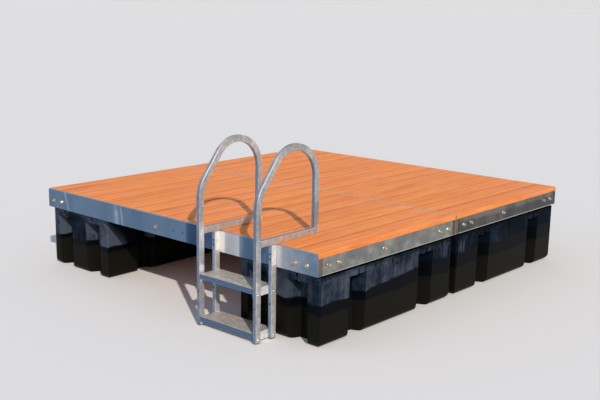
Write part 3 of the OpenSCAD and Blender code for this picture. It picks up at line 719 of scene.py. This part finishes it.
shaft, washer, nut = (floatBolt[k] for k in ("shaft", "washer", "nut"))
nutFoot = floatBolt["washerThick"]
nutTop = nutFoot + floatBolt["nutHeight"]
rings = [(shaft, -floatBolt["rise"], 0), (shaft, -0.5 * mm, 0), (washer, -0.5 * mm, 0), (washer, nutFoot, 0),
         (nut, nutFoot, 1), (nut, nutTop, 1), (shaft, nutTop, 0), (shaft, nutTop + floatBolt["stub"], 0)]
places = floatBoltPlaces()
makeBolts("floatBolts", places, [(0, 0, -1)] * len(places), rings, nutShadeFinish)
print("frame and float bolts made")


# ladder fittings

hoopLow, hoopHigh = corners("right_hoop")
leftHoopLow, leftHoopHigh = corners("left_hoop")
backLegLow, backLegHigh = corners("right_back_leg")
treadLow, treadHigh = corners("upper_tread")
lowTreadTop = corners("lower_tread")[1][2]
railLow, railHigh = corners("right_deck_rail")
tubeDeep = backLegHigh[1] - backLegLow[1]
frontLegY = hoopLow[1] + tubeDeep / 2
backLegY = (backLegLow[1] + backLegHigh[1]) / 2
earBolt = {"washer": 9 * mm, "washerThick": 1.2 * mm, "across": 7.6 * mm, "head": 5 * mm, "below": 32 * mm,
           "earThick": 3 * mm}
# domed heads outside: radius across * cos(a), height head * sin(a) above the washer
domeAt = np.radians([0, 18, 36, 54, 72, 84])
domeRings = [(earBolt["washer"], -0.5 * mm, 0), (earBolt["washer"], earBolt["washerThick"], 0)]
domeRings += [(earBolt["across"] * math.cos(a), earBolt["washerThick"] + earBolt["head"] * math.sin(a), 0)
              for a in domeAt]
places, normals = [], []
for top in (treadHigh[2], lowTreadTop):
    for y in (frontLegY, backLegY):
        places += [(hoopHigh[0], y, top - earBolt["below"]), (leftHoopLow[0], y, top - earBolt["below"])]
        normals += [(1, 0, 0), (-1, 0, 0)]
makeBolts("treadBolts", places, normals, domeRings, treadBoltFinish)

# nuts of the same bolts on the inner faces of the treads' ears
nutX = (treadHigh[0] - earBolt["earThick"], treadLow[0] + earBolt["earThick"])
places = [(nutX[0] if n[0] > 0 else nutX[1], p[1], p[2]) for p, n in zip(places, normals)]
normals = [(-n[0], 0, 0) for n in normals]
makeBolts("treadNuts", places, normals, headRings(earBolt, 0.5 * mm), treadBoltFinish)

# drilled holes in the front faces of the legs: a raised burr, and a near-black disc as painted shade for the
# hole
legHole = {"radius": 5.6 * mm, "backAt": (51 * mm, 79 * mm, 331 * mm), "frontAt": (331 * mm,)}
legX = ((hoopLow[0] + hoopHigh[0]) / 2, (leftHoopLow[0] + leftHoopHigh[0]) / 2)
places = [(x, backLegLow[1], deckTop - d) for x in legX for d in legHole["backAt"]]
places += [(x, hoopLow[1], deckTop - d) for x in legX for d in legHole["frontAt"]]
ladderSide = [(0, -1, 0)] * len(places)
r = legHole["radius"]
burrRings = [(r * 1.2, -0.4 * mm, 0), (r * 1.2, 0.3 * mm, 0), (r * 1.02, 0.5 * mm, 0),
             (r * 0.9, 0.25 * mm, 0)]
holeRings = [(r, -0.3 * mm, 0), (r, 0.4 * mm, 0), (r * 0.9, 0.56 * mm, 0), (r * 0.3, 0.58 * mm, 0)]
makeBolts("legHoleBurrs", places, ladderSide, burrRings, leftTubeFinish)
makeBolts("legHoleShadeDiscs", places, ladderSide, holeRings, holeShadeFinish)

# joint pins at the joint of upper and lower leg, in the front faces of all four legs
places = [(x, y, backLegLow[2]) for x in legX for y in (backLegLow[1], hoopLow[1])]
jointPin = {"rings": [(4.2 * mm, -0.5 * mm, 0), (4.2 * mm, 0.8 * mm, 0), (3.2 * mm, 1.8 * mm, 0),
                      (1.5 * mm, 2.2 * mm, 0)]}
makeBolts("jointPins", places, [(0, -1, 0)] * len(places), jointPin["rings"], weldFinish)

# end caps in the feet of the legs
legCap = {"halfWidth": 12.0 * mm, "halfDepth": 18.4 * mm, "power": 6, "around": 32,
          "rows": [(1.0, 0.5 * mm), (1.0, -2.2 * mm), (0.93, -3.2 * mm)]}
places = [(x, y, corners("right_front_foot")[0][2]) for x in legX for y in (frontLegY, backLegY)]


def capShape():
    # rounded plate: superellipse |x/a|^6 + |y/b|^6 = 1 at three heights
    n, rows = legCap["around"], legCap["rows"]
    a = np.linspace(0, 2 * np.pi, n, endpoint=False)
    ux = legCap["halfWidth"] * np.sign(np.cos(a)) * np.abs(np.cos(a)) ** (2 / legCap["power"])
    uy = legCap["halfDepth"] * np.sign(np.sin(a)) * np.abs(np.sin(a)) ** (2 / legCap["power"])
    pts = np.concatenate([np.stack([k * ux, k * uy, np.full(n, h)], -1) for k, h in rows])
    faces = [tuple(map(int, f[::-1])) for f in gridFaces(len(rows), n)]
    faces += [tuple(range(n)), tuple(range(len(pts) - 1, len(pts) - n - 1, -1))]
    return pts, faces


pts, faces = capShape()
pts, faces = repeatShape(pts, faces, places, np.repeat(np.eye(3)[None], len(places), 0))
caps = makeMesh("legCaps", pts, faces, capFinish)
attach(caps, "root")


# welds of the ladder

weldShape = {"radius": 2.4 * mm, "ripple": 0.35 * mm, "pitch": 5.5 * mm, "around": 10, "corner": 4 * mm,
             "steps": 64, "overDeck": 3 * mm, "backGap": 2 * mm}


def roundLoop(width, depth):
    # points evenly along a rounded rectangle
    r, out = weldShape["corner"], []
    for cx, cy, a0 in ((width / 2 - r, depth / 2 - r, 0), (-width / 2 + r, depth / 2 - r, 90),
                       (-width / 2 + r, -depth / 2 + r, 180), (width / 2 - r, -depth / 2 + r, 270)):
        a = np.radians(a0 + np.linspace(0, 90, 7))
        out.append(np.stack([cx + r * np.cos(a), cy + r * np.sin(a)], -1))
    p = np.concatenate(out)
    p = np.vstack([p, p[:1]])
    run = np.concatenate([[0], np.cumsum(np.linalg.norm(np.diff(p, axis=0), axis=1))])
    t = np.linspace(0, run[-1], weldShape["steps"], endpoint=False)
    return np.stack([np.interp(t, run, p[:, 0]), np.interp(t, run, p[:, 1])], -1)


def openRing(ring):
    # a ring with points left out, turned so that it starts behind its widest gap
    steps = np.linalg.norm(np.diff(np.vstack([ring, ring[:1]]), axis=0), axis=1)
    return np.roll(ring, -np.argmax(steps) - 1, 0)


def beadGrid(path, closed, flat):
    # tube round a path in the plane with normal flat: centre + r(s) (cos u * side + sin u * flat), with r(s)
    # rippled once every pitch
    w = weldShape
    ahead = np.roll(path, -1, 0) - np.roll(path, 1, 0)
    if not closed:
        ahead[0], ahead[-1] = path[1] - path[0], path[-1] - path[-2]
    ahead /= np.linalg.norm(ahead, axis=1)[:, None]
    side = np.cross(flat, ahead)
    run = np.concatenate([[0], np.cumsum(np.linalg.norm(np.diff(path, axis=0), axis=1))])
    r = w["radius"] + w["ripple"] * np.abs(np.sin(np.pi * run / w["pitch"]))
    u = np.linspace(0, 2 * np.pi, w["around"], endpoint=False)[None, :, None]
    return path[:, None] + r[:, None, None] * (np.cos(u) * side[:, None] + np.sin(u) * flat)


def weldPaths(x):
    # paths at one side of the ladder as (points, closed, plane normal): round both ends of the deck rail, the
    # back one only over the deck, and round the head of the back leg, open towards the raft
    width, railMiddle = hoopHigh[0] - hoopLow[0], (railLow[2] + railHigh[2]) / 2
    loop = roundLoop(width, railHigh[2] - railLow[2])
    front = np.stack([x + loop[:, 0], np.full(len(loop), railLow[1]), railMiddle + loop[:, 1]], -1)
    back = front.copy()
    back[:, 1] = railHigh[1]
    back = back[back[:, 2] > deckTop + weldShape["overDeck"]]
    back = back[np.argsort(np.arctan2(back[:, 2] - railMiddle, back[:, 0] - x))]
    loop = roundLoop(width, tubeDeep)
    head = np.stack([x + loop[:, 0], backLegY + loop[:, 1], np.full(len(loop), backLegHigh[2])], -1)
    head = head[head[:, 1] < backLegHigh[1] - weldShape["backGap"]]
    alongY, alongZ = np.array([0.0, 1.0, 0.0]), np.array([0.0, 0.0, 1.0])
    return [(front, True, alongY), (openRing(back), False, alongY), (openRing(head), False, alongZ)]


def makeWelds():
    # one bead for each path: a closed one joins its last ring to its first, an open one is capped
    pts, faces, base = [], [], 0
    for path, closed, flat in weldPaths(legX[0]) + weldPaths(legX[1]):
        grid = beadGrid(path, closed, flat)
        rows, cols = grid.shape[:2]
        quads = gridFaces(rows, cols)
        if closed:
            lastRow, c = (rows - 1) * cols, np.arange(cols)
            quads = np.vstack([quads, np.stack([lastRow + c, lastRow + (c + 1) % cols, (c + 1) % cols, c],
                                               -1)])
        faces += [tuple(map(int, q)) for q in quads + base]
        if not closed:
            faces.append(tuple(range(base + cols - 1, base - 1, -1)))
            faces.append(tuple(range(base + (rows - 1) * cols, base + rows * cols)))
        pts.append(grid.reshape(-1, 3))
        base += rows * cols
    piece = makeMesh("ladderWelds", np.concatenate(pts), faces, weldFinish, smooth=60)
    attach(piece, "root")


makeWelds()
print("ladder fittings made")


# floor, light, camera

stageLook = {"floor": "#EEEEED", "floorHalf": 400.0, "backdrop": "#DEDEDF", "ambient": "#C9D7EC",
             "ambientStrength": 0.46}
# broad soft lamp far off to the right of the ladder side, going down by 34 degrees
keyLook = {"strength": 3.15, "colour": "#FFF3E6", "angle": 1.1, "heading": (-1.54, 1.0), "fall": 34.0,
           "place": (4, -3, 3)}
# very wide cool lamp, low on the ladder side, to the left of the camera's view
fillLook = {"strength": 0.42, "colour": "#A4C2F4", "angle": 55.0, "travel": (3.5, 6.2, -2.2),
            "place": (-3.2, -7.2, 2.6)}


def makeFloor():
    mat, tree = newMaterial("paleFloor")
    shader = addNode(tree, "ShaderNodeBsdfPrincipled",
                     {"Base Color": hexToLinear(stageLook["floor"]), "Roughness": 0.9})
    finishMaterial(tree, shader)
    s = stageLook["floorHalf"]
    piece = makeMesh("floor", [(-s, -s, 0), (s, -s, 0), (s, s, 0), (-s, s, 0)], [(0, 1, 2, 3)], mat, smooth=0)


def makeWorld():
    # plain backdrop to camera, clear and glossy rays, and a dimmer blue ambient light to all the others
    world = bpy.data.worlds.new("studio")
    bpy.context.scene.world = world
    world.use_nodes = True
    tree = world.node_tree
    tree.nodes.clear()
    rays = addNode(tree, "ShaderNodeLightPath").outputs
    seen = addNode(tree, "ShaderNodeMath", {"operation": "MAXIMUM"},
                   {0: rays["Is Camera Ray"], 1: rays["Is Transmission Ray"]})
    seen = addNode(tree, "ShaderNodeMath", {"operation": "MAXIMUM"}, {0: seen, 1: rays["Is Glossy Ray"]})
    strength = addNode(tree, "ShaderNodeMapRange", {"To Min": stageLook["ambientStrength"], "To Max": 1.0},
                       {"Value": seen})
    tint = addNode(tree, "ShaderNodeMix", {"data_type": "RGBA", 6: hexToLinear(stageLook["ambient"]),
                   7: hexToLinear(stageLook["backdrop"])}, {0: seen})
    back = addNode(tree, "ShaderNodeBackground", {}, {"Color": tint, "Strength": strength})
    addNode(tree, "ShaderNodeOutputWorld", {}, {"Surface": back})


def makeLamp(name, look):
    # far lamp: its light goes along travel, or level along heading and down by fall degrees
    lamp = bpy.data.lights.new(name, "SUN")
    lamp.energy, lamp.angle = look["strength"], math.radians(look["angle"])
    lamp.color = hexToLinear(look["colour"])[:3]
    obj = bpy.data.objects.new(name, lamp)
    bpy.context.scene.collection.objects.link(obj)
    if "fall" in look:
        level, fall = Vector((*look["heading"], 0)).normalized(), math.radians(look["fall"])
        travel = level * math.cos(fall) - Vector((0, 0, math.sin(fall)))
    else:
        travel = Vector(look["travel"])
    obj.location = look["place"]
    obj.rotation_euler = travel.to_track_quat("-Z", "Y").to_euler()


def makeCamera():
    # fitted to the deck and frame edges of the photograph: heading, pitch and roll in degrees, focal length
    # and picture width in pixels, place from the left front corner of the deck
    view = {"heading": -41.70, "pitch": 11.95, "roll": 0.90, "focalPixels": 941.7, "widePixels": 600.0,
            "sensor": 36.0, "clipEnd": 1000.0, "fromCorner": (5495.3 * mm, -3576.5 * mm, 1281.2 * mm)}
    a, p, r = (math.radians(view[k]) for k in ("heading", "pitch", "roll"))
    ahead = np.array([math.sin(a) * math.cos(p), math.cos(a) * math.cos(p), -math.sin(p)])
    level = np.array([math.cos(a), -math.sin(a), 0.0])
    upright = np.cross(level, ahead)
    right = math.cos(r) * level + math.sin(r) * upright
    up = -math.sin(r) * level + math.cos(r) * upright
    cam = bpy.data.cameras.new("photoView")
    cam.sensor_width, cam.sensor_fit = view["sensor"], "HORIZONTAL"
    cam.lens = view["focalPixels"] * view["sensor"] / view["widePixels"]
    cam.clip_end = view["clipEnd"]
    obj = bpy.data.objects.new("photoView", cam)
    bpy.context.scene.collection.objects.link(obj)
    turn = np.stack([right, up, -ahead], 1)
    place = np.array([leftX, frontY, deckTop]) + np.array(view["fromCorner"])
    obj.matrix_world = Matrix.Translation(place.tolist()) @ Matrix(turn.tolist()).to_4x4()
    bpy.context.scene.camera = obj


makeFloor()
makeWorld()
makeLamp("keyLight", keyLook)
makeLamp("fillLight", fillLook)
makeCamera()
bpy.context.scene.view_settings.view_transform = "Standard"
print("stage and camera set")
